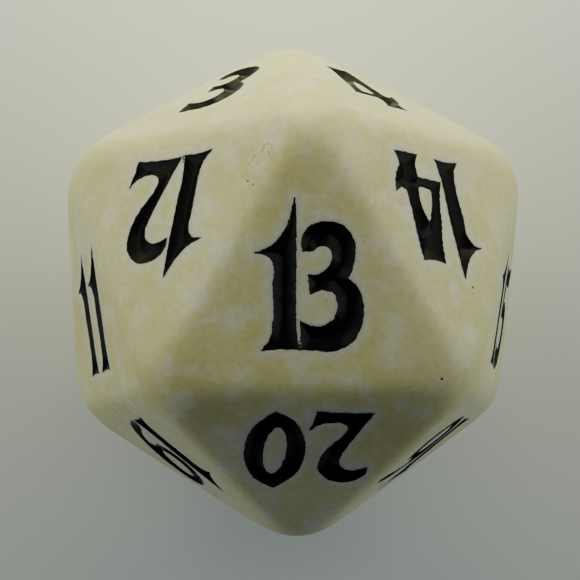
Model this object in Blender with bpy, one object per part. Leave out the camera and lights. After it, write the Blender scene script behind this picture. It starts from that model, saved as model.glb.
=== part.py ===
"""Twenty-sided countdown die: one moulded body whose engraved numerals are filled with paint.

The die rests on its 8 with the 13 on top. Millimetres are used for every size below, and MM
turns them into metres. Each numeral is drawn flat in millimetres, +Y towards its top, and is
then laid on its face.
"""
import math

import bmesh
import bpy
import numpy as np
from mathutils import Matrix, Vector

MM = 0.001

# Driving dimensions, in millimetres.
ACROSS_FLATS = 22.0
CORNER_SPHERE_RADIUS = 13.0     # tumbling has worn the corners back to about this sphere
EDGE_SHARPNESS = 50.0           # exponent of the blend: a crest radius of about 2.3 mm
FLAT_TOLERANCE = 0.002          # a face counts as flat until the blend drops this far below it
POCKET_DEPTH = 0.40
INLAY_BOTTOM = 0.38
INLAY_TOP = 0.05
INLAY_CLEARANCE = 0.02
CUTTER_HEADROOM = 0.5

# How finely the faceted solids follow the curves.
SEGMENTS_PER_EDGE = 12
RINGS_OF_ROUNDING = (0.35, 0.7, 1.0)
OUTLINE_TURN = math.radians(26.0)

GOLDEN_RATIO = (1.0 + math.sqrt(5.0)) / 2.0
INRADIUS = ACROSS_FLATS / 2.0
EDGE_LENGTH = INRADIUS * 2.0 * math.sqrt(3.0) / GOLDEN_RATIO ** 2
FACE_CIRCUMRADIUS = EDGE_LENGTH / math.sqrt(3.0)

# Numeral -> its face's three corners. The numeral's top points to the first of them.
FACE_CORNERS = {
    20: "DBC", 19: "DeB", 18: "Dae", 17: "Dfa", 16: "DCf",
    15: "ECf", 14: "CAE", 13: "ABC", 12: "BAF", 11: "FBe",
    10: "eFc", 9: "cea", 8: "abc", 7: "bfa", 6: "fbE",
    5: "dbE", 4: "dAE", 3: "dAF", 2: "dFc", 1: "dcb",
}

# Where a numeral stands on its face: baseline and spacing, and how far single digits are raised.
BASELINE = -2.62
PAIR_GAP = 0.14
SINGLE_RAISE = 1.1
DOT_RADIUS = 0.42
DOT_GAP = 0.45

# Some numerals sit a little off centre and lean: right, up, degrees of lean to the right, and
# extra space between the digits.
UNEVEN_NUMERALS = {
    3: (-0.35, 0.10, 0.0, 0.0),
    4: (0.10, 0.20, 0.0, 0.0),
    11: (-0.27, -0.08, 7.0, 0.30),
    12: (0.02, -0.16, 4.7, 0.0),
    13: (-0.13, 0.18, 0.0, -0.05),
    14: (0.53, -0.10, -4.8, -0.13),
    19: (-0.15, -0.15, 3.0, 0.0),
}

# Digit outlines. Each closed outline is a list of runs. A run starts at a sharp corner and
# passes smoothly through its other points to the start of the next run.
ONE = [
    [(1.72, 5.95), (1.76, 4.60), (1.74, 2.60), (1.68, 0.90)],
    [(1.80, 0.02), (1.05, 0.06)],
    [(0.25, -0.04), (0.66, 0.50), (0.80, 1.25), (0.81, 2.90), (0.83, 3.70), (0.58, 4.12)],
    [(0.00, 4.26), (0.68, 4.55), (1.22, 5.08)],
]
TALL_ONE = [
    [(1.76, 6.68), (1.80, 5.40), (1.78, 2.60), (1.78, 0.90)],
    [(1.90, 0.02), (1.05, 0.06)],
    ONE[2],
    [(0.00, 4.26), (0.70, 4.53), (1.22, 5.08), (1.56, 5.80)],
]
TWO = [
    [(0.00, 4.00), (-0.02, 4.42), (0.22, 4.80), (0.75, 5.08), (1.38, 5.06), (1.98, 4.66), (2.30, 4.00),
     (2.24, 3.25), (1.86, 2.42), (1.22, 1.50), (1.10, 1.02), (1.36, 0.76), (1.88, 0.68), (2.40, 0.80)],
    [(2.86, 1.22), (2.68, 0.55)],
    [(2.58, -0.10), (1.55, 0.03), (0.58, 0.08)],
    [(0.00, 0.08), (0.22, 0.56), (0.78, 1.80), (1.20, 2.80), (1.36, 3.48), (1.20, 4.00), (0.76, 4.22),
     (0.34, 4.18)],
]
THREE = [
    [(0.12, 4.30), (0.10, 4.92), (0.46, 5.42), (1.12, 5.60), (1.90, 5.40), (2.36, 4.82), (2.40, 4.12),
     (2.24, 3.40)],
    [(2.08, 3.12), (2.54, 2.66), (2.75, 1.98), (2.68, 1.12), (2.28, 0.34), (1.45, -0.06), (0.70, -0.02)],
    [(0.05, 0.00)],
    [(0.00, 1.26), (0.42, 1.06), (0.90, 1.00), (1.40, 1.26), (1.64, 1.84), (1.54, 2.40), (1.06, 2.62)],
    [(0.44, 2.46)],
    [(0.36, 3.30), (0.74, 3.28), (1.22, 3.58), (1.44, 4.10), (1.24, 4.52), (0.84, 4.54), (0.44, 4.32)],
]
FOUR = [
    [(1.06, 5.30), (1.70, 5.20)],
    [(2.46, 5.26), (2.50, 4.40), (2.47, 3.10)],
    [(2.50, 1.90), (2.74, 1.80)],
    [(3.20, 2.06), (3.02, 1.32)],
    [(2.62, 0.76), (2.56, 0.42)],
    [(2.72, 0.00)],
    [(1.24, -0.02), (1.50, 0.42)],
    [(1.54, 1.18)],
    [(0.04, 1.18), (0.26, 1.66), (0.68, 3.30), (1.00, 4.55)],
]
FOUR_COUNTER = [
    [(1.48, 3.36), (1.70, 2.90), (1.76, 2.10), (1.66, 1.70)],
    [(0.84, 1.72), (0.97, 2.36), (1.24, 3.00)],
]
FIVE = [
    [(0.42, 5.22), (1.25, 5.10), (2.05, 5.18)],
    [(2.80, 5.62), (2.58, 4.92)],
    [(2.32, 4.32), (1.70, 4.26)],
    [(1.08, 4.30)],
    [(1.02, 3.36), (1.60, 3.40), (2.34, 3.06), (2.72, 2.20), (2.60, 1.06), (2.02, 0.24), (1.20, -0.06)],
    [(0.04, 0.04)],
    [(0.06, 1.26), (0.50, 0.98), (1.02, 0.94), (1.48, 1.24), (1.70, 1.86), (1.52, 2.44), (1.06, 2.60)],
    [(0.34, 2.42), (0.40, 3.80)],
]
SEVEN = [
    [(0.02, 5.56), (0.34, 5.22), (0.90, 5.14), (1.80, 5.18)],
    [(2.76, 5.28), (2.58, 4.50), (2.04, 2.90), (1.76, 1.60), (1.78, 0.60)],
    [(2.02, -0.02), (1.30, 0.04)],
    [(0.54, -0.04), (0.82, 0.62), (0.98, 1.60), (1.34, 3.00)],
    [(1.78, 4.26), (1.10, 4.24), (0.56, 4.12)],
    [(0.12, 3.60), (0.14, 4.60)],
]
EIGHT = [
    [(2.06, 3.04), (2.56, 2.46), (2.80, 1.62), (2.46, 0.50), (1.46, -0.06), (0.46, 0.46), (0.08, 1.52),
     (0.30, 2.44)],
    [(0.80, 2.98), (0.46, 3.50), (0.34, 4.28), (0.66, 5.02), (1.40, 5.38), (2.18, 5.06), (2.50, 4.32),
     (2.34, 3.54)],
]
NINE = [
    [(0.30, 0.00), (1.50, 0.50), (2.28, 1.40), (2.78, 2.50), (2.86, 3.60), (2.56, 4.72), (1.92, 5.30),
     (1.06, 5.02), (0.42, 4.34), (0.08, 3.28), (0.36, 2.34)],
    [(0.90, 1.84), (1.38, 2.04)],
    [(1.86, 1.66), (1.12, 0.96), (0.36, 0.66)],
    [(0.00, 0.28)],
]
ZERO = [
    [(1.40, 5.42), (2.20, 4.80), (2.72, 3.70), (2.82, 2.40), (2.46, 0.96)],
    [(1.46, -0.12), (0.64, 0.54), (0.14, 1.66), (0.04, 2.96), (0.40, 4.36)],
]


def ellipse(center, radii, lean=0.0):
    """Closed smooth outline: one run without a corner, given by a formula."""
    return ("ellipse", center, radii, math.radians(lean))


def turned(outline, center):
    """The same outline turned half a turn about center."""
    if outline[0] == "ellipse":
        _, middle, radii, lean = outline
        return ("ellipse", (2.0 * center[0] - middle[0], 2.0 * center[1] - middle[1]), radii, lean)
    return [[(2.0 * center[0] - x, 2.0 * center[1] - y) for x, y in run] for run in outline]


NINE_COUNTER = ellipse((1.38, 3.50), (0.60, 1.06), lean=-8.0)
DIGIT_MIDDLE = (1.43, 2.65)
SPECIAL_SIGNS = {13: ("tall 1", "3")}
DIGITS = {
    "0": (ZERO, [ellipse((1.43, 2.65), (0.56, 1.72), lean=-4.0)]),
    "1": (ONE, []),
    "tall 1": (TALL_ONE, []),
    "2": (TWO, []),
    "3": (THREE, []),
    "4": (FOUR, [FOUR_COUNTER]),
    "5": (FIVE, []),
    "6": (turned(NINE, DIGIT_MIDDLE), [turned(NINE_COUNTER, DIGIT_MIDDLE)]),
    "7": (SEVEN, []),
    "8": (EIGHT, [ellipse((1.42, 4.22), (0.40, 0.50)), ellipse((1.44, 1.50), (0.52, 0.74))]),
    "9": (NINE, [NINE_COUNTER]),
}


def clear_scene():
    for leftover in list(bpy.data.objects):
        bpy.data.objects.remove(leftover, do_unlink=True)


def corner_points():
    """The sharp corners A to F of the upper half in millimetres, and their opposites a to f."""
    rings = (
        ("ABC", FACE_CIRCUMRADIUS, INRADIUS, (90.0, 210.0, 330.0)),
        ("DEF", FACE_CIRCUMRADIUS * GOLDEN_RATIO, INRADIUS - FACE_CIRCUMRADIUS, (270.0, 30.0, 150.0)),
    )
    corners = {}
    for names, radius, height, angles in rings:
        for name, angle in zip(names, angles):
            turn = math.radians(angle)
            point = np.array([radius * math.cos(turn), radius * math.sin(turn), height])
            corners[name] = point
            corners[name.lower()] = -point
    return corners


CORNERS = corner_points()


class Face:
    """One of the twenty faces: its centre, its outward normal, and its numeral's right and up."""

    def __init__(self, number):
        self.number = number
        self.corners = [CORNERS[name] for name in FACE_CORNERS[number]]
        self.center = sum(self.corners) / 3.0
        self.normal = self.center / INRADIUS
        self.up = (self.corners[0] - self.center) / FACE_CIRCUMRADIUS
        self.right = np.cross(self.up, self.normal)

    def placement(self):
        """World matrix, in metres, of something drawn flat on this face in metres."""
        matrix = Matrix.Identity(4)
        for column, axis in enumerate((self.right, self.up, self.normal)):
            matrix.col[column] = Vector((*axis, 0.0))
        lift = np.array([0.0, 0.0, INRADIUS])
        matrix.translation = Vector((self.center + lift) * MM)
        return matrix


FACES = {number: Face(number) for number in FACE_CORNERS}
NORMALS = np.array([face.normal for face in FACES.values()])


def on_surface(points):
    """Points moved along their rays from the centre to the rounded surface.

    The surface is a smooth intersection of the twenty half-spaces and the corner sphere:
    the sum of (distance along a normal / inradius) ** n, plus (radius / corner radius) ** n, is 1.
    """
    directions = points / np.linalg.norm(points, axis=-1, keepdims=True)
    along = np.clip(directions @ NORMALS.T, 0.0, None) / INRADIUS
    total = (along ** EDGE_SHARPNESS).sum(axis=-1) + (1.0 / CORNER_SPHERE_RADIUS) ** EDGE_SHARPNESS
    return directions * total[..., None] ** (-1.0 / EDGE_SHARPNESS)


def flat_border(face, edge_points):
    """For each edge point, how far from the face's centre towards it the face is still flat."""
    inner = np.zeros(len(edge_points))
    outer = np.ones(len(edge_points))
    for _ in range(40):
        middle = (inner + outer) / 2.0
        points = on_surface(face.center + (edge_points - face.center) * middle[:, None])
        is_flat = INRADIUS - points @ face.normal < FLAT_TOLERANCE
        inner = np.where(is_flat, middle, inner)
        outer = np.where(is_flat, outer, middle)
    return inner


def face_rings(face):
    """The three corners of the face's flat, and closed rings of points out to its three crests."""
    starts = face.corners
    if np.dot(np.cross(starts[1] - starts[0], starts[2] - starts[1]), face.normal) < 0.0:
        starts = starts[::-1]
    steps = np.arange(SEGMENTS_PER_EDGE) / SEGMENTS_PER_EDGE
    # Short steps near the round corners, long ones along the straight crest between them.
    reach = (1.0 - np.cos(math.pi * steps)) / 2.0
    edges = zip(starts, starts[1:] + starts[:1])
    edge_points = np.concatenate([start + (end - start) * reach[:, None] for start, end in edges])
    border = flat_border(face, edge_points)[:, None]
    flat = (face.center + (edge_points - face.center) * border)[::SEGMENTS_PER_EDGE]
    rings = []
    for share in RINGS_OF_ROUNDING:
        distance = border + (1.0 - border) * share
        rings.append(on_surface(face.center + (edge_points - face.center) * distance))
    return flat, rings


def mesh_object(name, bm, material):
    mesh = bpy.data.meshes.new(name)
    bm.to_mesh(mesh)
    bm.free()
    mesh.materials.append(material)
    item = bpy.data.objects.new(name, mesh)
    bpy.context.collection.objects.link(item)
    return item


def finish(name, color, roughness, coat=0.0):
    """A Principled material with one colour."""
    material = bpy.data.materials.new(name)
    material.use_nodes = True
    shader = material.node_tree.nodes["Principled BSDF"]
    shader.inputs["Base Color"].default_value = (*color, 1.0)
    shader.inputs["Roughness"].default_value = roughness
    shader.inputs["Metallic"].default_value = 0.0
    shader.inputs["Coat Weight"].default_value = coat
    return material


def add_body(cutters):
    """The moulded body: twenty flats with rounded edges and corners, less the numeral pockets."""
    bm = bmesh.new()
    for face in FACES.values():
        flat, rings = face_rings(face)
        flat = [bm.verts.new(point) for point in flat]
        rings = [[bm.verts.new(point) for point in ring] for ring in rings]
        bm.faces.new(flat)
        count = len(rings[0])
        for index in range(count):
            # Each stretch of the first ring belongs to the flat's nearest corner.
            nearest = (index + SEGMENTS_PER_EDGE // 2) // SEGMENTS_PER_EDGE % 3
            bm.faces.new((flat[nearest], rings[0][index], rings[0][(index + 1) % count]))
        for corner in range(3):
            middle = corner * SEGMENTS_PER_EDGE + SEGMENTS_PER_EDGE // 2
            bm.faces.new((flat[corner], rings[0][middle], flat[(corner + 1) % 3]))
        for inner, outer in zip(rings, rings[1:]):
            for index in range(count):
                following = (index + 1) % count
                bm.faces.new((inner[index], outer[index], outer[following], inner[following]))
    bmesh.ops.remove_doubles(bm, verts=bm.verts, dist=0.001)
    bmesh.ops.translate(bm, verts=bm.verts, vec=(0.0, 0.0, INRADIUS))
    bmesh.ops.scale(bm, verts=bm.verts, vec=(MM, MM, MM))
    bmesh.ops.recalc_face_normals(bm, faces=bm.faces)
    body = mesh_object("die_body", bm, finish("cream plastic", (0.60, 0.57, 0.38), 0.38))
    body.data.shade_smooth()
    body.data.set_sharp_from_angle(angle=math.radians(30.0))
    pockets = body.modifiers.new("Numeral pockets", "BOOLEAN")
    pockets.operation = "DIFFERENCE"
    pockets.solver = "EXACT"
    pockets.object = cutters
    return body


def smooth_run(points):
    """Points on a curve through the given ones, closer together where it turns.

    Each span is a cubic whose end directions are those of the parabola through the
    neighbouring points.
    """
    points = np.array(points, dtype=float)
    if len(points) == 2:
        return points[:1]
    spans = np.linalg.norm(np.diff(points, axis=0), axis=1)
    slopes = np.diff(points, axis=0) / spans[:, None]
    before, after = spans[:-1, None], spans[1:, None]
    inner = (after * slopes[:-1] + before * slopes[1:]) / (before + after)
    first = 1.5 * slopes[0] - 0.5 * inner[0]
    last = 1.5 * slopes[-1] - 0.5 * inner[-1]
    tangents = np.vstack([first, inner, last])
    curve = []
    for index, span in enumerate(spans):
        start, end = tangents[index], tangents[index + 1]
        turn = abs(math.atan2(start[0] * end[1] - start[1] * end[0], start @ end))
        count = max(1, round(turn / OUTLINE_TURN))
        t = (np.arange(count) / count)[:, None]
        curve.append((2 * t ** 3 - 3 * t ** 2 + 1) * points[index] + (3 * t ** 2 - 2 * t ** 3) * points[index + 1]
                     + ((t ** 3 - 2 * t ** 2 + t) * start + (t ** 3 - t ** 2) * end) * span)
    return np.concatenate(curve)


def outline_points(outline):
    """One closed outline as an array of points."""
    if outline[0] == "ellipse":
        _, center, radii, lean = outline
        angles = np.arange(0.0, math.tau - 0.001, OUTLINE_TURN * 1.15)
        angles *= math.tau / (angles[-1] + angles[1])
        x = radii[0] * np.cos(angles)
        y = radii[1] * np.sin(angles)
        cos, sin = math.cos(lean), math.sin(lean)
        return np.column_stack([center[0] + x * cos - y * sin, center[1] + x * sin + y * cos])
    runs = zip(outline, outline[1:] + outline[:1])
    return np.concatenate([smooth_run(run + following[:1]) for run, following in runs])


def signed_area(points):
    following = np.roll(points, -1, axis=0)
    return 0.5 * float(np.sum(points[:, 0] * following[:, 1] - points[:, 1] * following[:, 0]))


def grown(points, distance, is_hole=False):
    """The outline moved outwards by distance, or a hole's outline moved inwards by it."""
    if (signed_area(points) < 0.0) != is_hole:
        points = points[::-1]
    ahead = np.roll(points, -1, axis=0) - points
    ahead /= np.linalg.norm(ahead, axis=1, keepdims=True)
    behind = np.roll(ahead, 1, axis=0)
    normal_ahead = np.column_stack([ahead[:, 1], -ahead[:, 0]])
    normal_behind = np.column_stack([behind[:, 1], -behind[:, 0]])
    middle = normal_ahead + normal_behind
    miter = 2.0 / np.maximum((middle ** 2).sum(axis=1), 0.06)
    return points + middle * (miter * distance)[:, None]


def add_prism(bm, loops, bottom, top, placement):
    """A closed prism over flat outlines in millimetres, holes included, added to bm in metres."""
    flat = bmesh.new()
    edges = []
    for loop in loops:
        ring = [flat.verts.new((x, y, bottom)) for x, y in loop]
        edges += [flat.edges.new(pair) for pair in zip(ring, ring[1:] + ring[:1])]
    bmesh.ops.triangle_fill(flat, use_beauty=True, edges=edges)
    top_part = bmesh.ops.extrude_face_region(flat, geom=flat.faces[:])
    raised = [item for item in top_part["geom"] if isinstance(item, bmesh.types.BMVert)]
    bmesh.ops.translate(flat, verts=raised, vec=(0.0, 0.0, top - bottom))
    bmesh.ops.recalc_face_normals(flat, faces=flat.faces)
    bmesh.ops.scale(flat, verts=flat.verts, vec=(MM, MM, MM))
    bmesh.ops.transform(flat, verts=flat.verts, matrix=placement)
    mesh = bpy.data.meshes.new("prism")
    flat.to_mesh(mesh)
    flat.free()
    bm.from_mesh(mesh)
    bpy.data.meshes.remove(mesh)


def place_digits(number):
    """The digits of a numeral as (name ending, outer outline, holes), laid out on their face."""
    right, up, lean, extra_gap = UNEVEN_NUMERALS.get(number, (0.0, 0.0, 0.0, 0.0))
    digits = [(outline_points(DIGITS[sign][0]), [outline_points(hole) for hole in DIGITS[sign][1]])
              for sign in SPECIAL_SIGNS.get(number, str(number))]
    gap = PAIR_GAP + extra_gap
    widths = [outer[:, 0].max() - outer[:, 0].min() for outer, _ in digits]
    total = sum(widths) + gap * (len(digits) - 1)
    base = BASELINE + up + (SINGLE_RAISE if len(digits) == 1 else 0.0)
    endings = ("",) if len(digits) == 1 else ("_left", "_right")
    left = right - total / 2.0
    shear = np.array([[1.0, 0.0], [math.tan(math.radians(lean)), 1.0]])
    placed = []
    for (outer, holes), width, ending in zip(digits, widths, endings):
        shift = np.array([left - outer[:, 0].min(), base])
        placed.append((ending, outer @ shear + shift, [hole @ shear + shift for hole in holes]))
        left += width + gap
    if number in (6, 9):
        middle = (left - gap + DOT_GAP + DOT_RADIUS, base + DOT_RADIUS)
        placed.append(("_dot", outline_points(ellipse(middle, (DOT_RADIUS, DOT_RADIUS))), []))
    return placed


def add_numerals():
    """Every digit as its own inlay, and one cutter with all their pockets."""
    pockets = bmesh.new()
    for number, face in FACES.items():
        for ending, outer, holes in place_digits(number):
            inlay = bmesh.new()
            add_prism(inlay, [outer] + holes, -INLAY_BOTTOM, -INLAY_TOP, Matrix.Identity(4))
            name = f"inlay_{number:02d}{ending}"
            item = mesh_object(name, inlay, finish(name + " paint", (0.012, 0.012, 0.013), 0.30, coat=0.4))
            item.matrix_world = face.placement()
            wider = [grown(outer, INLAY_CLEARANCE)]
            wider += [grown(hole, INLAY_CLEARANCE, is_hole=True) for hole in holes]
            add_prism(pockets, wider, -POCKET_DEPTH, CUTTER_HEADROOM, face.placement())
    cutters = mesh_object("pocket_cutters", pockets, finish("cutter", (0.5, 0.5, 0.5), 0.5))
    cutters.hide_render = True
    cutters.display_type = "WIRE"
    return cutters


def main():
    clear_scene()
    cutters = add_numerals()
    add_body(cutters)


main()
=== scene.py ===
"""Twenty-sided countdown die in mottled cream plastic, with black paint in its engraved numerals.

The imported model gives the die's place and size. The body and the paint are made again here as
fine surfaces: the twenty flats and their rounded edges follow one formula, and every numeral is
a V-shaped groove whose depth follows the distance from its outline. Sizes in this script are
millimetres and MM turns them into metres.
"""
import math

import bpy
import numpy as np
from mathutils import Euler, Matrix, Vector
from mathutils.geometry import delaunay_2d_cdt


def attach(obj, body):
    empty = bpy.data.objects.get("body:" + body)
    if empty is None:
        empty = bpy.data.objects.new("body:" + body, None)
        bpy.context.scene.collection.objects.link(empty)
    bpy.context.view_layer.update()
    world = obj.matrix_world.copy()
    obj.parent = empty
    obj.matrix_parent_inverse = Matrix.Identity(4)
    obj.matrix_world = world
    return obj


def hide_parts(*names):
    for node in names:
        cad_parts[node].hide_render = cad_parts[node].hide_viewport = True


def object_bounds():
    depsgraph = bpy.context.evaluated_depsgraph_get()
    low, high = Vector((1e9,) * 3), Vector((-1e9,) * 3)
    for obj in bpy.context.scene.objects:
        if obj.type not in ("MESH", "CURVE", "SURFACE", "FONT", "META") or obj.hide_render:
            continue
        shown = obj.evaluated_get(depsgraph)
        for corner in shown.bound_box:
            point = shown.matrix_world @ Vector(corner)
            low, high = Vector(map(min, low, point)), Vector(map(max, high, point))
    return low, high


MM = 0.001

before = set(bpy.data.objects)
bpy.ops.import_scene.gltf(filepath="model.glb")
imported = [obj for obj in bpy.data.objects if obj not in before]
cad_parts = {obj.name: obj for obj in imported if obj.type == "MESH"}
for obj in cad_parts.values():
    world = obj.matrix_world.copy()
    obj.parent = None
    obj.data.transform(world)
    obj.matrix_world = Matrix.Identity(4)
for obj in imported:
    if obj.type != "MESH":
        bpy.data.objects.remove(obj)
cad_low, cad_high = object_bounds()

# ---------------------------------------------------------------- the die's driving sizes

INRADIUS = (cad_high.z - cad_low.z) / 2.0 / MM
DIE_CENTER = np.array([0.0, 0.0, cad_low.z / MM + INRADIUS])
GOLDEN_RATIO = (1.0 + math.sqrt(5.0)) / 2.0
EDGE_LENGTH = INRADIUS * 2.0 * math.sqrt(3.0) / GOLDEN_RATIO ** 2
FACE_CIRCUMRADIUS = EDGE_LENGTH / math.sqrt(3.0)
CORNER_SPHERE_RADIUS = INRADIUS * 13.0 / 11.0
EDGE_SHARPNESS = 50.0

# Numeral -> its face's three corners. The numeral's top points to the first of them.
FACE_CORNERS = {
    20: "DBC", 19: "DeB", 18: "Dae", 17: "Dfa", 16: "DCf",
    15: "ECf", 14: "CAE", 13: "ABC", 12: "BAF", 11: "FBe",
    10: "eFc", 9: "cea", 8: "abc", 7: "bfa", 6: "fbE",
    5: "dbE", 4: "dAE", 3: "dAF", 2: "dFc", 1: "dcb",
}

BASELINE = -2.62            # where a pair of digits stands, from the face's centre
PAIR_GAP = 0.14
SINGLE_RAISE = 1.1          # a single digit stands this much higher
DOT_RADIUS = 0.42
DOT_GAP = 0.45

# Numerals that sit off centre: right, up, degrees of lean, extra space between the digits.
UNEVEN_NUMERALS = {
    3: (-0.35, 0.10, 0.0, 0.0),
    4: (0.10, 0.20, 0.0, 0.0),
    11: (-0.27, -0.08, 7.0, 0.30),
    12: (0.02, -0.16, 4.7, 0.0),
    13: (-0.13, 0.18, 0.0, -0.05),
    14: (0.53, -0.10, -4.8, -0.13),
    19: (-0.15, -0.15, 3.0, 0.0),
}

# Digit outlines. A run starts at a sharp corner and curves through its points to the next run.
ONE = [
    [(1.72, 5.95), (1.76, 4.60), (1.74, 2.60), (1.68, 0.90)],
    [(1.80, 0.02), (1.05, 0.06)],
    [(0.25, -0.04), (0.66, 0.50), (0.80, 1.25), (0.81, 2.90), (0.83, 3.70), (0.58, 4.12)],
    [(0.00, 4.26), (0.68, 4.55), (1.22, 5.08)],
]
TALL_ONE = [
    [(1.76, 6.68), (1.80, 5.40), (1.78, 2.60), (1.78, 0.90)],
    [(1.90, 0.02), (1.05, 0.06)],
    ONE[2],
    [(0.00, 4.26), (0.70, 4.53), (1.22, 5.08), (1.56, 5.80)],
]
TWO = [
    [(0.00, 4.00), (-0.02, 4.42), (0.22, 4.80), (0.75, 5.08), (1.38, 5.06), (1.98, 4.66), (2.30, 4.00),
     (2.24, 3.25), (1.86, 2.42), (1.22, 1.50), (1.10, 1.02), (1.36, 0.76), (1.88, 0.68), (2.40, 0.80)],
    [(2.86, 1.22), (2.68, 0.55)],
    [(2.58, -0.10), (1.55, 0.03), (0.58, 0.08)],
    [(0.00, 0.08), (0.22, 0.56), (0.78, 1.80), (1.20, 2.80), (1.36, 3.48), (1.20, 4.00), (0.76, 4.22),
     (0.34, 4.18)],
]
THREE = [
    [(0.12, 4.30), (0.10, 4.92), (0.46, 5.42), (1.12, 5.60), (1.90, 5.40), (2.36, 4.82), (2.40, 4.12),
     (2.24, 3.40)],
    [(2.08, 3.12), (2.54, 2.66), (2.75, 1.98), (2.68, 1.12), (2.28, 0.34), (1.45, -0.06), (0.70, -0.02)],
    [(0.05, 0.00)],
    [(0.00, 1.26), (0.42, 1.06), (0.90, 1.00), (1.40, 1.26), (1.64, 1.84), (1.54, 2.40), (1.06, 2.62)],
    [(0.44, 2.46)],
    [(0.36, 3.30), (0.74, 3.28), (1.22, 3.58), (1.44, 4.10), (1.24, 4.52), (0.84, 4.54), (0.44, 4.32)],
]
FOUR = [
    [(1.06, 5.30), (1.70, 5.20)],
    [(2.46, 5.26), (2.50, 4.40), (2.47, 3.10)],
    [(2.50, 1.90), (2.74, 1.80)],
    [(3.20, 2.06), (3.02, 1.32)],
    [(2.62, 0.76), (2.56, 0.42)],
    [(2.72, 0.00)],
    [(1.24, -0.02), (1.50, 0.42)],
    [(1.54, 1.18)],
    [(0.04, 1.18), (0.26, 1.66), (0.68, 3.30), (1.00, 4.55)],
]
FOUR_COUNTER = [
    [(1.48, 3.36), (1.70, 2.90), (1.76, 2.10), (1.66, 1.70)],
    [(0.84, 1.72), (0.97, 2.36), (1.24, 3.00)],
]
FIVE = [
    [(0.42, 5.22), (1.25, 5.10), (2.05, 5.18)],
    [(2.80, 5.62), (2.58, 4.92)],
    [(2.32, 4.32), (1.70, 4.26)],
    [(1.08, 4.30)],
    [(1.02, 3.36), (1.60, 3.40), (2.34, 3.06), (2.72, 2.20), (2.60, 1.06), (2.02, 0.24), (1.20, -0.06)],
    [(0.04, 0.04)],
    [(0.06, 1.26), (0.50, 0.98), (1.02, 0.94), (1.48, 1.24), (1.70, 1.86), (1.52, 2.44), (1.06, 2.60)],
    [(0.34, 2.42), (0.40, 3.80)],
]
SEVEN = [
    [(0.02, 5.56), (0.34, 5.22), (0.90, 5.14), (1.80, 5.18)],
    [(2.76, 5.28), (2.58, 4.50), (2.04, 2.90), (1.76, 1.60), (1.78, 0.60)],
    [(2.02, -0.02), (1.30, 0.04)],
    [(0.54, -0.04), (0.82, 0.62), (0.98, 1.60), (1.34, 3.00)],
    [(1.78, 4.26), (1.10, 4.24), (0.56, 4.12)],
    [(0.12, 3.60), (0.14, 4.60)],
]
EIGHT = [
    [(2.06, 3.04), (2.56, 2.46), (2.80, 1.62), (2.46, 0.50), (1.46, -0.06), (0.46, 0.46), (0.08, 1.52),
     (0.30, 2.44)],
    [(0.80, 2.98), (0.46, 3.50), (0.34, 4.28), (0.66, 5.02), (1.40, 5.38), (2.18, 5.06), (2.50, 4.32),
     (2.34, 3.54)],
]
NINE = [
    [(0.30, 0.00), (1.50, 0.50), (2.28, 1.40), (2.78, 2.50), (2.86, 3.60), (2.56, 4.72), (1.92, 5.30),
     (1.06, 5.02), (0.42, 4.34), (0.08, 3.28), (0.36, 2.34)],
    [(0.90, 1.84), (1.38, 2.04)],
    [(1.86, 1.66), (1.12, 0.96), (0.36, 0.66)],
    [(0.00, 0.28)],
]
ZERO = [
    [(1.40, 5.42), (2.20, 4.80), (2.72, 3.70), (2.82, 2.40), (2.46, 0.96)],
    [(1.46, -0.12), (0.64, 0.54), (0.14, 1.66), (0.04, 2.96), (0.40, 4.36)],
]


def ellipse(center, radii, lean=0.0):
    """Closed smooth outline: one run without a corner, given by a formula."""
    return ("ellipse", center, radii, math.radians(lean))


def turned(outline, center):
    """The same outline turned half a turn about center."""
    if outline[0] == "ellipse":
        _, middle, radii, lean = outline
        return ("ellipse", (2.0 * center[0] - middle[0], 2.0 * center[1] - middle[1]), radii, lean)
    return [[(2.0 * center[0] - x, 2.0 * center[1] - y) for x, y in run] for run in outline]


NINE_COUNTER = ellipse((1.38, 3.50), (0.60, 1.06), lean=-8.0)
DIGIT_MIDDLE = (1.43, 2.65)
SPECIAL_SIGNS = {13: ("tall 1", "3")}
DIGITS = {
    "0": (ZERO, [ellipse((1.43, 2.65), (0.56, 1.72), lean=-4.0)]),
    "1": (ONE, []),
    "tall 1": (TALL_ONE, []),
    "2": (TWO, []),
    "3": (THREE, []),
    "4": (FOUR, [FOUR_COUNTER]),
    "5": (FIVE, []),
    "6": (turned(NINE, DIGIT_MIDDLE), [turned(NINE_COUNTER, DIGIT_MIDDLE)]),
    "7": (SEVEN, []),
    "8": (EIGHT, [ellipse((1.42, 4.22), (0.40, 0.50)), ellipse((1.44, 1.50), (0.52, 0.74))]),
    "9": (NINE, [NINE_COUNTER]),
}

# ---------------------------------------------------------------- fineness of the surfaces

OUTLINE_STEP = 0.055        # spacing of points along a digit's outline
RAGGED_EDGE = 0.024         # how far the paint's edge wanders from the drawn outline
COARSE_WANDER = (0.45, 0.9) # length of the edge's longer waves and their share of RAGGED_EDGE
FINE_WANDER = (0.13, 0.8)   # the same for its shorter waves
RAGGED_FADE = 3.0           # the groove begins over this many times RAGGED_EDGE
EDGE_STEPS = 44             # points along each of a face's three crests
CREST_SHARE = 0.90          # the strips along the crests start this far out from a face's centre
CREST_STEPS = 6             # rings from there to the crest
FLAT_SPACING = 0.21         # spacing of the points over a flat
BORDER_CLEARANCE = 0.4      # spacings that those points keep from the strips
NUMERAL_CLEARANCE = 0.45    # spacings that they keep from the numerals
PAINT_SPACING = 0.045       # spacing of the points over the paint
PAINT_CLEARANCE = 0.5       # spacings that those points keep from the paint's edge
PAINT_SPREAD = 0.03         # the paint reaches this far past the engraved outline
RIM_WIDTH = 0.04            # the pocket's rim is rolled over this width
RIM_CLEARANCE = 0.7         # rim points nearer than this share of RIM_WIDTH to an outline are dropped
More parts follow.
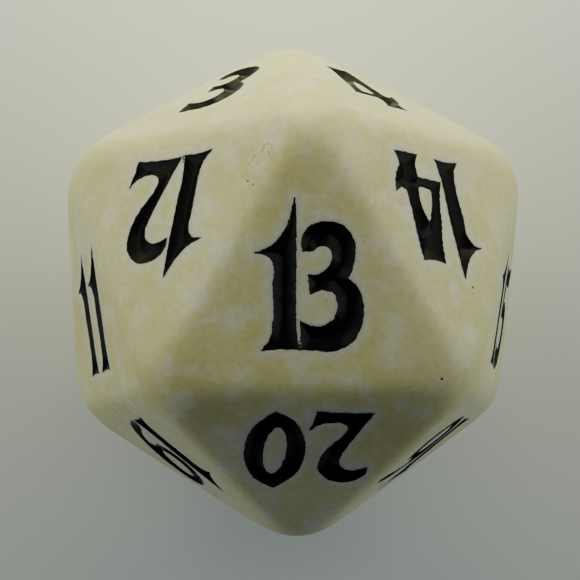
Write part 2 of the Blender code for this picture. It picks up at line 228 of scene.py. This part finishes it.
RIM_DROP = 0.008            # depth of the rolled rim at the pocket's edge
POCKET_DEPTH = 0.40         # depth of the pocket under the paint
PAINT_BOTTOM = 0.38         # depth of the paint's underside
THINNEST_PAINT = 0.02       # the groove stops this far above the underside
PAINT_RIM = 0.012           # the paint starts this far below the flat
GROOVE_SLOPE = 0.62         # steepness of the groove's walls
GROOVE_DEPTH = 0.36         # depth at which a wide groove levels off
PAINT_LUMPS = 0.004         # how far the paint's surface swells and sinks
LUMP_SIZE = 0.5             # length of those swellings
FAR_FROM_NUMERAL = 1.5      # distances from a numeral are kept up to this one
MERGES_PER_MM = 5000.0      # points that fall in the same cell of this grid become one point
BODY_CREASE = 40.0          # degrees from which an edge of the body looks sharp
PAINT_CREASE = 50.0         # the same for the paint
POINTS_AT_ONCE = 2000       # points whose distances are worked out together


# ---------------------------------------------------------------- shape of the die

def corner_points():
    """The sharp corners A to F of the upper half about the die's centre, and opposites a to f."""
    rings = (
        ("ABC", FACE_CIRCUMRADIUS, INRADIUS, (90.0, 210.0, 330.0)),
        ("DEF", FACE_CIRCUMRADIUS * GOLDEN_RATIO, INRADIUS - FACE_CIRCUMRADIUS, (270.0, 30.0, 150.0)),
    )
    corners = {}
    for names, radius, height, angles in rings:
        for name, angle in zip(names, angles):
            turn = math.radians(angle)
            point = np.array([radius * math.cos(turn), radius * math.sin(turn), height])
            corners[name] = point
            corners[name.lower()] = -point
    return corners


CORNERS = corner_points()


class Face:
    """One of the twenty faces: its centre, outward normal, and its numeral's right and up."""

    def __init__(self, number):
        self.number = number
        self.corners = [CORNERS[name] for name in FACE_CORNERS[number]]
        self.center = sum(self.corners) / 3.0
        self.normal = self.center / INRADIUS
        self.up = (self.corners[0] - self.center) / FACE_CIRCUMRADIUS
        self.right = np.cross(self.up, self.normal)

    def to_space(self, flat, depth=0.0):
        """Points (x right, y up) on the rounded face, sunk by depth, about the die's centre."""
        depth = np.broadcast_to(depth, len(flat))[:, None]
        plane = self.center + flat[:, :1] * self.right + flat[:, 1:2] * self.up
        return on_surface(plane) - depth * self.normal

    def to_flat(self, points):
        """The right and up coordinates of points on or near the face."""
        offset = points - self.center
        return np.column_stack([offset @ self.right, offset @ self.up])


FACES = {number: Face(number) for number in FACE_CORNERS}
NORMALS = np.array([face.normal for face in FACES.values()])


def on_surface(points):
    """Points moved along their rays from the centre to the rounded surface.

    The surface is a smooth intersection of the twenty half-spaces and the corner sphere:
    the sum of (distance along a normal / inradius) ** n, plus (radius / corner radius) ** n, is 1.
    """
    directions = points / np.linalg.norm(points, axis=-1, keepdims=True)
    along = np.clip(directions @ NORMALS.T, 0.0, None) / INRADIUS
    total = (along ** EDGE_SHARPNESS).sum(axis=-1) + (1.0 / CORNER_SPHERE_RADIUS) ** EDGE_SHARPNESS
    return directions * total[..., None] ** (-1.0 / EDGE_SHARPNESS)


def edge_ring(face):
    """Points round the face's three sharp edges, closer together near the corners."""
    starts = face.corners
    if np.dot(np.cross(starts[1] - starts[0], starts[2] - starts[1]), face.normal) < 0.0:
        starts = starts[::-1]
    steps = np.arange(EDGE_STEPS) / EDGE_STEPS
    reach = 0.5 * steps + 0.25 * (1.0 - np.cos(math.pi * steps))
    edges = zip(starts, starts[1:] + starts[:1])
    return np.concatenate([start + (end - start) * reach[:, None] for start, end in edges])


# ---------------------------------------------------------------- outlines of the numerals

def smooth_run(points):
    """Points on a curve through the given ones, at most OUTLINE_STEP apart.

    Each span is a cubic whose end directions are those of the parabola through the
    neighbouring points.
    """
    points = np.array(points, dtype=float)
    spans = np.linalg.norm(np.diff(points, axis=0), axis=1)
    slopes = np.diff(points, axis=0) / spans[:, None]
    if len(points) == 2:
        tangents = np.vstack([slopes, slopes])
    else:
        before, after = spans[:-1, None], spans[1:, None]
        inner = (after * slopes[:-1] + before * slopes[1:]) / (before + after)
        tangents = np.vstack([1.5 * slopes[0] - 0.5 * inner[0], inner, 1.5 * slopes[-1] - 0.5 * inner[-1]])
    curve = []
    for index, span in enumerate(spans):
        start, end = tangents[index], tangents[index + 1]
        count = max(1, math.ceil(span / OUTLINE_STEP))
        t = (np.arange(count) / count)[:, None]
        start_share = 2 * t ** 3 - 3 * t ** 2 + 1
        end_share = 3 * t ** 2 - 2 * t ** 3
        bend = (t ** 3 - 2 * t ** 2 + t) * start + (t ** 3 - t ** 2) * end
        curve.append(start_share * points[index] + end_share * points[index + 1] + bend * span)
    return np.concatenate(curve)


def outline_points(outline):
    """One closed outline as an array of points."""
    if outline[0] == "ellipse":
        _, center, radii, lean = outline
        count = math.ceil(math.tau * max(radii) / OUTLINE_STEP)
        angles = np.arange(count) * math.tau / count
        x = radii[0] * np.cos(angles)
        y = radii[1] * np.sin(angles)
        cos, sin = math.cos(lean), math.sin(lean)
        return np.column_stack([center[0] + x * cos - y * sin, center[1] + x * sin + y * cos])
    runs = zip(outline, outline[1:] + outline[:1])
    return np.concatenate([smooth_run(run + following[:1]) for run, following in runs])


def waves(points, size, seed):
    """Smooth noise from -1 to 1: the mean of eight sine waves with random directions."""
    rng = np.random.default_rng(seed)
    directions = rng.normal(size=(8, points.shape[1]))
    stretches = rng.uniform(0.6, 1.5, (8, 1))
    directions *= math.tau / size * stretches / np.linalg.norm(directions, axis=1)[:, None]
    return np.sin(points @ directions.T + rng.uniform(0.0, math.tau, 8)).mean(axis=1) * 2.0


def ragged(points, seed):
    """The outline with its points pushed sideways a little, as by hand painting."""
    (long_size, long_share), (short_size, short_share) = COARSE_WANDER, FINE_WANDER
    coarse = np.column_stack([waves(points, long_size, seed), waves(points, long_size, seed + 1)])
    fine = np.column_stack([waves(points, short_size, seed + 2), waves(points, short_size, seed + 3)])
    return points + RAGGED_EDGE * (long_share * coarse + short_share * fine)


def place_digits(number):
    """The digits of a numeral as (name ending, outer outline, holes), laid out on their face."""
    right, up, lean, extra_gap = UNEVEN_NUMERALS.get(number, (0.0, 0.0, 0.0, 0.0))
    digits = [(outline_points(DIGITS[sign][0]), [outline_points(hole) for hole in DIGITS[sign][1]])
              for sign in SPECIAL_SIGNS.get(number, str(number))]
    gap = PAIR_GAP + extra_gap
    widths = [outer[:, 0].max() - outer[:, 0].min() for outer, _ in digits]
    total = sum(widths) + gap * (len(digits) - 1)
    base = BASELINE + up + (SINGLE_RAISE if len(digits) == 1 else 0.0)
    endings = ("",) if len(digits) == 1 else ("_left", "_right")
    left = right - total / 2.0
    shear = np.array([[1.0, 0.0], [math.tan(math.radians(lean)), 1.0]])
    placed = []
    for (outer, holes), width, ending in zip(digits, widths, endings):
        shift = np.array([left - outer[:, 0].min(), base])
        placed.append((ending, outer @ shear + shift, [hole @ shear + shift for hole in holes]))
        left += width + gap
    if number in (6, 9):
        middle = (left - gap + DOT_GAP + DOT_RADIUS, base + DOT_RADIUS)
        placed.append(("_dot", outline_points(ellipse(middle, (DOT_RADIUS, DOT_RADIUS))), []))
    return placed


def segments_of(loops):
    """Start and end points of all the sides of closed loops."""
    starts = np.concatenate(loops)
    ends = np.concatenate([np.roll(loop, -1, axis=0) for loop in loops])
    return starts, ends


def distance_to(points, loops):
    """Distance from each point to the nearest side: |point - start - t (end - start)|, t from 0 to 1."""
    starts, ends = segments_of(loops)
    along = ends - starts
    lengths = np.maximum((along ** 2).sum(axis=1), 1e-12)
    nearest = np.empty(len(points))
    for first in range(0, len(points), POINTS_AT_ONCE):
        some = slice(first, first + POINTS_AT_ONCE)
        offset = points[some, None] - starts
        t = np.clip((offset * along).sum(axis=2) / lengths, 0.0, 1.0)
        nearest[some] = np.sqrt(((offset - t[..., None] * along) ** 2).sum(axis=2).min(axis=1))
    return nearest


def inside(points, loops):
    """True where a ray to the right crosses the loops' sides an odd number of times."""
    starts, ends = segments_of(loops)
    result = np.empty(len(points), dtype=bool)
    for first in range(0, len(points), POINTS_AT_ONCE):
        some = slice(first, first + POINTS_AT_ONCE)
        x, y = points[some, :1], points[some, 1:]
        spans = (starts[:, 1] > y) != (ends[:, 1] > y)
        rise = np.where(ends[:, 1] == starts[:, 1], 1.0, ends[:, 1] - starts[:, 1])
        crossing = starts[:, 0] + (y - starts[:, 1]) * (ends[:, 0] - starts[:, 0]) / rise
        result[some] = (spans & (x < crossing)).sum(axis=1) % 2 == 1
    return result


def signed_area(loop):
    """Half the sum of the cross products of neighbouring points: positive if counter-clockwise."""
    following = np.roll(loop, -1, axis=0)
    return 0.5 * float(np.sum(loop[:, 0] * following[:, 1] - loop[:, 1] * following[:, 0]))


def moved_out(loop, distance):
    """The loop's points moved to its right-hand side, outwards for a counter-clockwise loop."""
    ahead = np.roll(loop, -1, axis=0) - loop
    ahead /= np.linalg.norm(ahead, axis=1, keepdims=True)
    middle = ahead + np.roll(ahead, 1, axis=0)
    normal = np.column_stack([middle[:, 1], -middle[:, 0]])
    return loop + normal * (distance * 2.0 / np.maximum((normal ** 2).sum(axis=1), 1.0))[:, None]


# ---------------------------------------------------------------- flat triangulations

def hex_points(low, high, spacing):
    """Points of a triangular lattice that covers the rectangle from low to high."""
    xs = np.arange(low[0], high[0], spacing)
    ys = np.arange(low[1], high[1], spacing * math.sqrt(3.0) / 2.0)
    x, y = np.meshgrid(xs, ys)
    x = x + (np.arange(len(ys)) % 2)[:, None] * spacing / 2.0
    return np.column_stack([x.ravel(), y.ravel()])


def triangulate(loops, loose):
    """Points and triangles of a plane region whose borders are loops and that also uses loose points."""
    points = np.concatenate(loops + [loose])
    sizes = [len(loop) for loop in loops]
    firsts = np.cumsum([0] + sizes[:-1])
    sides = np.concatenate([np.column_stack([first + np.arange(size), first + (np.arange(size) + 1) % size])
                            for first, size in zip(firsts, sizes)])
    result = delaunay_2d_cdt([Vector(p) for p in points], sides.tolist(), [], 0, 1e-7, False)
    flat = np.array([v[:] for v in result[0]])
    triangles = np.array([face for face in result[2] if len(face) == 3])
    middles = flat[triangles].mean(axis=1)
    a, b, c = (flat[triangles[:, k]] for k in range(3))
    area = (b[:, 0] - a[:, 0]) * (c[:, 1] - a[:, 1]) - (b[:, 1] - a[:, 1]) * (c[:, 0] - a[:, 0])
    keep = inside(middles, loops) & (np.abs(area) > 1e-9)
    triangles[area < 0.0] = triangles[area < 0.0][:, ::-1]
    return flat, triangles[keep]


class Surface:
    """Collects blocks of points and triangles, with a value at each point, into one mesh."""

    def __init__(self):
        self.points, self.triangles, self.values, self.count = [], [], [], 0

    def add(self, points, triangles, values):
        self.points.append(points)
        self.triangles.append(np.asarray(triangles) + self.count)
        self.values.append(np.broadcast_to(values, len(points)))
        self.count += len(points)

    def add_band(self, inner, outer, values):
        """A closed band of triangles between two rings with as many points."""
        count = len(inner)
        here = np.arange(count)
        following = (here + 1) % count
        triangles = np.concatenate([np.column_stack([here, here + count, following + count]),
                                    np.column_stack([here, following + count, following])])
        self.add(np.concatenate([inner, outer]), triangles, values)

    def build(self, name, attribute, sharp_angle):
        """The mesh object: coincident points are merged, and creases over sharp_angle stay sharp."""
        points = np.concatenate(self.points)
        triangles = np.concatenate(self.triangles)
        values = np.concatenate(self.values)
        _, first, merged = np.unique(np.round(points * MERGES_PER_MM).astype(np.int64), axis=0,
                                     return_index=True, return_inverse=True)
        triangles = merged.reshape(-1)[triangles]
        distinct = ((triangles[:, 0] != triangles[:, 1]) & (triangles[:, 1] != triangles[:, 2])
                    & (triangles[:, 2] != triangles[:, 0]))
        triangles = triangles[distinct]
        used, renumbered = np.unique(triangles, return_inverse=True)
        placed = (points[first][used] + DIE_CENTER) * MM
        mesh = bpy.data.meshes.new(name)
        mesh.from_pydata(placed.tolist(), [], renumbered.reshape(-1, 3).tolist())
        layer = mesh.attributes.new(attribute, "FLOAT", "POINT")
        layer.data.foreach_set("value", values[first][used].astype(np.float32))
        mesh.update()
        mesh.shade_smooth()
        mesh.set_sharp_from_angle(angle=math.radians(sharp_angle))
        item = bpy.data.objects.new(name, mesh)
        bpy.context.collection.objects.link(item)
        return item


# ---------------------------------------------------------------- body and paint

def numeral_loops(number):
    """Every digit of a numeral as (name ending, even loops, ragged loops).

    The outer loop runs counter-clockwise and the holes' loops run clockwise.
    """
    digits = []
    for index, (ending, outer, holes) in enumerate(place_digits(number)):
        seed = 1000 * number + 100 * index
        loops = [loop if (signed_area(loop) > 0.0) == (order == 0) else loop[::-1]
                 for order, loop in enumerate([outer] + holes)]
        even = [moved_out(loop, PAINT_SPREAD) for loop in loops]
        loops = [ragged(loop, seed + 10 * order) for order, loop in enumerate(even)]
        digits.append((ending, even, loops))
    return digits


def rim_drop(distance):
    """Depth of the rolled rim: RIM_DROP at the pocket's edge, fading as a square to RIM_WIDTH."""
    return RIM_DROP * np.clip(1.0 - distance / RIM_WIDTH, 0.0, 1.0) ** 2


def add_face_to_body(surface, face, digits):
    """One face out to its crests, with the pockets of its digits sunk into it."""
    ring = face.to_flat(edge_ring(face))
    border = CREST_SHARE * ring
    all_loops = [loop for _, _, loops in digits for loop in loops]
    lattice = hex_points(border.min(axis=0), border.max(axis=0), FLAT_SPACING)
    lattice = lattice[inside(lattice, [border])]
    away = distance_to(lattice, all_loops)
    off_border = distance_to(lattice, [border]) > BORDER_CLEARANCE * FLAT_SPACING
    off_numeral = (away > NUMERAL_CLEARANCE * FLAT_SPACING) & ~inside(lattice, all_loops)
    lattice = lattice[off_border & off_numeral]
    rim = np.concatenate([moved_out(loop, RIM_WIDTH) for loop in all_loops])
    rim = rim[(distance_to(rim, all_loops) > RIM_CLEARANCE * RIM_WIDTH) & ~inside(rim, all_loops)]
    flat, triangles = triangulate([border] + all_loops, np.concatenate([lattice, rim]))
    away = distance_to(flat, all_loops)
    surface.add(face.to_space(flat, rim_drop(away)), triangles, np.minimum(away, FAR_FROM_NUMERAL))
    shares = CREST_SHARE + (1.0 - CREST_SHARE) * np.arange(CREST_STEPS + 1) / CREST_STEPS
    for inner, outer in zip(shares, shares[1:]):
        away = distance_to(np.concatenate([inner * ring, outer * ring]), all_loops)
        surface.add_band(face.to_space(inner * ring), face.to_space(outer * ring),
                         np.minimum(away, FAR_FROM_NUMERAL))
    for _, _, loops in digits:
        for loop in loops:
            surface.add_band(face.to_space(loop, POCKET_DEPTH), face.to_space(loop, RIM_DROP), 0.0)
        floor, floor_triangles = triangulate(loops, np.empty((0, 2)))
        surface.add(face.to_space(floor, POCKET_DEPTH), floor_triangles, 0.0)


def groove_depth(distance):
    """Depth of the groove: rim + D (1 - exp(-(slope d / D) ** 3)) ** (1 / 3), a V that levels off at D."""
    reach = GROOVE_SLOPE * distance / GROOVE_DEPTH
    return PAINT_RIM + GROOVE_DEPTH * (1.0 - np.exp(-reach ** 3)) ** (1.0 / 3.0)


def add_paint(face, even, loops, name, seed):
    """The paint in one digit: a closed layer whose upper side is the groove.

    The groove follows the even outline, and only the layer's border is ragged.
    """
    surface = Surface()
    outer = loops[0]
    lattice = hex_points(outer.min(axis=0), outer.max(axis=0), PAINT_SPACING)
    lattice = lattice[inside(lattice, loops)]
    lattice = lattice[distance_to(lattice, loops) > PAINT_CLEARANCE * PAINT_SPACING]
    flat, triangles = triangulate(loops, lattice)
    inward = np.clip(distance_to(flat, loops) / RAGGED_EDGE / RAGGED_FADE, 0.0, 1.0)
    away = distance_to(flat, even) * inward
    depth = groove_depth(away) + PAINT_LUMPS * waves(flat, LUMP_SIZE, seed) * inward
    depth = np.minimum(depth, PAINT_BOTTOM - THINNEST_PAINT)
    surface.add(face.to_space(flat, depth), triangles, away)
    flat, triangles = triangulate(loops, np.empty((0, 2)))
    surface.add(face.to_space(flat, PAINT_BOTTOM), triangles[:, ::-1], 0.0)
    for loop in loops:
        surface.add_band(face.to_space(loop, PAINT_RIM), face.to_space(loop, PAINT_BOTTOM), 0.0)
    return surface.build(name, "depth_reach", PAINT_CREASE)


# ---------------------------------------------------------------- finishes

class Nodes:
    """Short ways to add nodes to a material."""

    def __init__(self, material):
        material.use_nodes = True
        self.tree = material.node_tree
        self.shader = self.tree.nodes["Principled BSDF"]

    def add(self, kind, inputs=None, **settings):
        node = self.tree.nodes.new(kind)
        for key, value in settings.items():
            setattr(node, key, value)
        for key, value in (inputs or {}).items():
            if isinstance(value, bpy.types.NodeSocket):
                self.tree.links.new(value, node.inputs[key])
            else:
                node.inputs[key].default_value = value
        return node

    def position(self):
        return self.add("ShaderNodeTexCoord").outputs["Object"]

    def noise(self, scale, detail=3.0, roughness=0.5):
        """Noise on Object coordinates, with scale in features per metre."""
        node = self.add("ShaderNodeTexNoise", {"Vector": self.position(), "Scale": scale, "Detail": detail,
                                               "Roughness": roughness})
        return node.outputs["Fac"]

    def ramp(self, value, low, high, low_to=0.0, high_to=1.0):
        """value from low..high mapped to low_to..high_to along a smooth step."""
        node = self.add("ShaderNodeMapRange", {"Value": value, "From Min": low, "From Max": high,
                                               "To Min": low_to, "To Max": high_to},
                        interpolation_type="SMOOTHSTEP")
        return node.outputs["Result"]

    def math(self, operation, first, second):
        return self.add("ShaderNodeMath", {0: first, 1: second}, operation=operation).outputs[0]

    def mix(self, share, first, second):
        """Color from first at share 0 to second at share 1."""
        node = self.add("ShaderNodeMix", {"Factor": share, "A": first, "B": second}, data_type="RGBA")
        return node.outputs["Result"]

    def attribute(self, name):
        return self.add("ShaderNodeAttribute", attribute_name=name).outputs["Fac"]

    def bump(self, height, strength, distance, normal=None):
        inputs = {"Height": height, "Strength": strength, "Distance": distance}
        if normal is not None:
            inputs["Normal"] = normal
        return self.add("ShaderNodeBump", inputs).outputs["Normal"]

    def feed(self, name, socket):
        self.tree.links.new(socket, self.shader.inputs[name])


# Spots on the body: numeral of the face, right and up from the face's centre, radius.
PITS = (
    (13, 5.9, -3.9, 0.085),
    (12, -4.3, -0.9, 0.060),
    (12, -4.6, -0.7, 0.050),
    (14, -1.1, 3.6, 0.075),
    (3, 4.6, -1.9, 0.050),
    (20, 2.10, 4.10, 0.045),
    (8, 1.90, -3.10, 0.060),
    (5, -3.20, 0.40, 0.055),
    (1, 2.60, 1.30, 0.065),
)
# Paint that has run between the digits of the 13 and of the 12.
PAINT_SPILLS = (
    (13, -0.56, -2.40, 0.110),
    (13, -0.56, -2.24, 0.085),
    (13, -0.55, -2.08, 0.060),
    (13, -0.54, -1.90, 0.040),
    (12, -0.53, -2.72, 0.085),
    (12, -0.54, -2.59, 0.075),
    (12, -0.54, -2.46, 0.060),
)
# Patches with fine dark scratches.
SCUFFS = (
    (12, -4.6, -1.8, 0.80),
    (12, -5.1, -2.3, 0.70),
    (12, -4.3, -1.3, 0.55),
)
PIT_COLOR = (0.035, 0.030, 0.018, 1.0)


def spot_mask(n, spots, core):
    """1 within core of a spot's radius and 0 beyond it: the distance through a smooth step."""
    position = n.position()
    mask = None
    for number, right, up, radius in spots:
        middle = (FACES[number].to_space(np.array([[right, up]]))[0] + DIE_CENTER) * MM
        distance = n.add("ShaderNodeVectorMath", {0: position, 1: middle.tolist()}, operation="DISTANCE")
        spot = n.ramp(distance.outputs["Value"], core * radius * MM, radius * MM, 1.0, 0.0)
        mask = spot if mask is None else n.math("MAXIMUM", mask, spot)
    return mask


def speck_mask(n):
    """Tiny specks where one of many scattered points happens to lie on the surface."""
    points = n.add("ShaderNodeTexVoronoi", {"Vector": n.position(), "Scale": 1300.0}, feature="F1")
    return n.ramp(points.outputs["Distance"], 0.035, 0.075, 1.0, 0.0)


def mottled_plastic():
    """Cream plastic with soft whitish clouds, whiter round the numerals, pitted, specked and scuffed."""
    material = bpy.data.materials.new("mottled cream plastic")
    n = Nodes(material)
    cream = (0.625, 0.608, 0.305, 1.0)
    deep_cream = (0.565, 0.540, 0.220, 1.0)
    chalk = (0.675, 0.670, 0.515, 1.0)
    dust = (0.30, 0.28, 0.13, 1.0)
    scratch = (0.24, 0.23, 0.13, 1.0)
    broad = n.ramp(n.noise(170.0, detail=1.0), 0.35, 0.65)
    color = n.mix(broad, cream, deep_cream)
    clouds = n.ramp(n.noise(680.0, detail=3.0, roughness=0.52), 0.45, 0.70)
    color = n.mix(n.math("MULTIPLY", clouds, 0.68), color, chalk)
    near = n.ramp(n.attribute("near_numeral"), 0.0, 0.65, 0.75, 0.0)
    color = n.mix(near, color, chalk)
    grain = n.ramp(n.noise(3200.0, detail=3.0, roughness=0.6), 0.30, 0.62, 0.20, 0.0)
    color = n.mix(grain, color, dust)
    color = n.mix(n.math("MULTIPLY", speck_mask(n), 0.35), color, PIT_COLOR)
    scratches = n.ramp(n.noise(4200.0, detail=2.0, roughness=0.7), 0.54, 0.66)
    scuffed = n.math("MULTIPLY", scratches, spot_mask(n, SCUFFS, 0.2))
    color = n.mix(n.math("MULTIPLY", scuffed, 0.70), color, scratch)
    pits = spot_mask(n, PITS + PAINT_SPILLS, 0.6)
    n.feed("Base Color", n.mix(pits, color, PIT_COLOR))
    smudges = n.noise(700.0, detail=4.0, roughness=0.6)
    n.feed("Roughness", n.ramp(smudges, 0.3, 0.7, 0.36, 0.50))
    n.shader.inputs["Subsurface Weight"].default_value = 0.50
    n.shader.inputs["Subsurface Radius"].default_value = (1.0, 0.85, 0.5)
    n.shader.inputs["Subsurface Scale"].default_value = 0.0018
    n.shader.inputs["IOR"].default_value = 1.49
    soft = n.bump(n.noise(300.0, detail=2.0), 0.20, 0.0001)
    fine = n.bump(n.noise(2600.0, detail=3.0, roughness=0.6), 0.15, 0.00002, soft)
    n.feed("Normal", n.bump(n.math("SUBTRACT", 1.0, pits), 0.8, 0.00004, fine))
    return material


def numeral_paint():
    """Black enamel: smooth, with slightly paler patches where it has rubbed thin."""
    material = bpy.data.materials.new("black numeral enamel")
    n = Nodes(material)
    rubbed = n.ramp(n.noise(900.0, detail=3.0, roughness=0.6), 0.58, 0.78)
    black = (0.0035, 0.0035, 0.004, 1.0)
    thin_black = (0.009, 0.009, 0.009, 1.0)
    n.feed("Base Color", n.mix(rubbed, black, thin_black))
    n.feed("Roughness", n.ramp(n.noise(1400.0, detail=3.0), 0.3, 0.7, 0.24, 0.34))
    n.shader.inputs["IOR"].default_value = 1.5
    n.shader.inputs["Specular IOR Level"].default_value = 0.06
    n.feed("Normal", n.bump(n.noise(1500.0, detail=3.0, roughness=0.6), 0.20, 0.00002))
    return material


# ---------------------------------------------------------------- the pieces

def add_die():
    plastic = mottled_plastic()
    enamel = numeral_paint()
    body_surface = Surface()
    for number, face in FACES.items():
        digits = numeral_loops(number)
        add_face_to_body(body_surface, face, digits)
        for index, (ending, even, loops) in enumerate(digits):
            item = add_paint(face, even, loops, f"paint_{number:02d}{ending}", 50 * number + index)
            item.data.materials.append(enamel)
            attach(item, "root")
            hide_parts(f"inlay_{number:02d}{ending}")
    body = body_surface.build("moulded_body", "near_numeral", BODY_CREASE)
    body.data.materials.append(plastic)
    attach(body, "root")
    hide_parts("die_body")


# ---------------------------------------------------------------- floor, light and camera

FLOOR_SIZE = 900.0
FLOOR_COLOR = (0.70, 0.74, 0.72, 1.0)
WORLD_COLOR = (0.25, 0.40, 1.0, 1.0)
WORLD_STRENGTH = 0.06
CAMERA_FROM_CENTER = (-4.704, 1.841, 62.389)
CAMERA_TURN = (-1.815, -4.160, -0.285)
CAMERA_LENS = 73.23
SENSOR_WIDTH = 36.0
NEAREST_SEEN = 0.005        # metres from the camera
FARTHEST_SEEN = 10.0


def add_floor():
    """A plain pale table top under the die."""
    half = FLOOR_SIZE / 2.0 * MM
    mesh = bpy.data.meshes.new("table_top")
    mesh.from_pydata([(-half, -half, 0.0), (half, -half, 0.0), (half, half, 0.0), (-half, half, 0.0)], [],
                     [(0, 1, 2, 3)])
    floor = bpy.data.objects.new("table_top", mesh)
    bpy.context.collection.objects.link(floor)
    material = bpy.data.materials.new("pale table top")
    n = Nodes(material)
    n.shader.inputs["Base Color"].default_value = FLOOR_COLOR
    n.shader.inputs["Roughness"].default_value = 0.8
    floor.data.materials.append(material)


def add_area_light(name, place, side, power, color):
    """A soft square light at place (millimetres about the die's centre), aimed at the die."""
    light = bpy.data.lights.new(name, "AREA")
    light.shape = "SQUARE"
    light.size = side * MM
    light.energy = power
    light.color = color
    item = bpy.data.objects.new(name, light)
    item.location = (Vector(place) + Vector(DIE_CENTER)) * MM
    item.rotation_mode = "QUATERNION"
    item.rotation_quaternion = (-Vector(place)).to_track_quat("-Z", "Y")
    item.visible_camera = False
    bpy.context.collection.objects.link(item)


WARM = (1.0, 1.0, 0.55)
NEUTRAL = (1.0, 1.0, 0.85)
COOL = (0.95, 1.0, 0.95)
# Soft square lights: place about the die's centre and side, in millimetres, brightness, color.
# A light off the middle has a twin mirrored in x.
LIGHTS = (
    ((0.0, 38.0, 4.0), 20.0, 1.1, WARM),
    ((28.0, 34.0, 4.0), 20.0, 0.3, WARM),
    ((45.0, 45.0, 45.0), 50.0, 0.4, NEUTRAL),
    ((155.0, 0.0, 45.0), 110.0, 0.5, COOL),
)
LIGHT_POWER = 7.0e-6        # watts per square millimetre of distance, at brightness 1


def add_light_and_camera():
    world = bpy.data.worlds.new("studio")
    world.use_nodes = True
    background = world.node_tree.nodes["Background"]
    background.inputs["Color"].default_value = WORLD_COLOR
    background.inputs["Strength"].default_value = WORLD_STRENGTH
    bpy.context.scene.world = world
    for number, ((x, y, z), side, brightness, color) in enumerate(LIGHTS):
        for mirrored in sorted({x, -x}):
            place = (mirrored, y, z)
            power = LIGHT_POWER * Vector(place).length_squared * brightness
            add_area_light(f"soft_light_{number}_{mirrored:+.0f}", place, side, power, color)
    camera_data = bpy.data.cameras.new("camera")
    camera_data.lens = CAMERA_LENS
    camera_data.sensor_width = SENSOR_WIDTH
    camera_data.clip_start = NEAREST_SEEN
    camera_data.clip_end = FARTHEST_SEEN
    camera = bpy.data.objects.new("camera", camera_data)
    camera.location = (Vector(CAMERA_FROM_CENTER) + Vector(DIE_CENTER)) * MM
    camera.rotation_euler = Euler([math.radians(turn) for turn in CAMERA_TURN])
    bpy.context.collection.objects.link(camera)
    bpy.context.scene.camera = camera


add_die()
add_floor()
add_light_and_camera()
